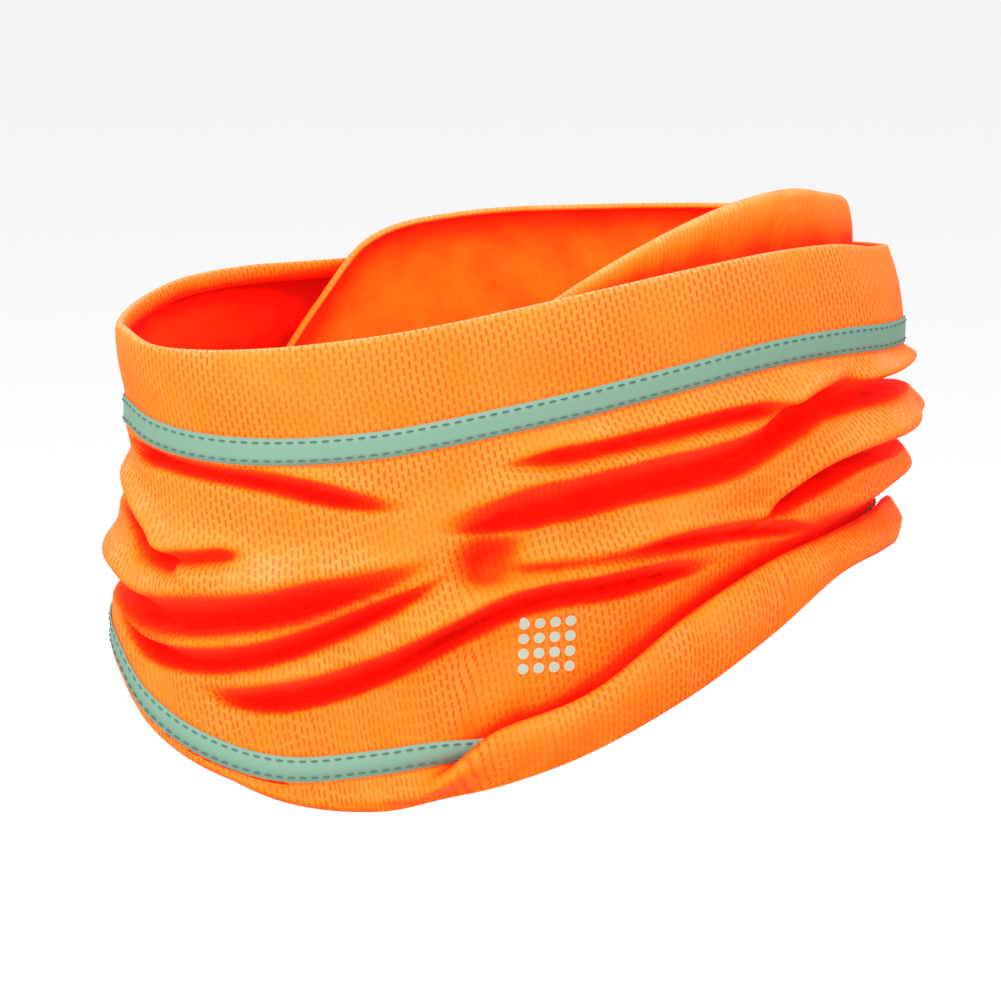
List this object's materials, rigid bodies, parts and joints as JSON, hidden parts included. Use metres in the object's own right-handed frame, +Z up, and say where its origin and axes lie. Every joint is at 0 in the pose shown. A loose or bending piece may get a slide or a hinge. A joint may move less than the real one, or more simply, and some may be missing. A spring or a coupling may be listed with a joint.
{
  "type": "loop scarf",
  "caption": "Tube of mesh cloth worn round the neck, gathered into folds, doubled at the hem, with two sewn reflective tapes and a small reflective print.",
  "frame": {"origin": "on the axis of the neck, level with where the hem lies on the shoulders at the sides", "axes": "+Z up along the neck, -Y towards the throat, +X towards the wearer's left"},
  "size_m": [0.2063, 0.1246, 0.1403],
  "materials": {
    "mesh_cloth": "matte fluorescent orange eyelet knit",
    "reflective_tape": "satin grey-green reflective tape",
    "reflective_print": "pale reflective print"
  },
  "bodies": {
    "root": {"fabric_tube": "mesh_cloth", "reflective_tape_top": "reflective_tape", "reflective_tape_bottom": "reflective_tape", "reflective_print": "reflective_print"}
  },
  "joints": []
}
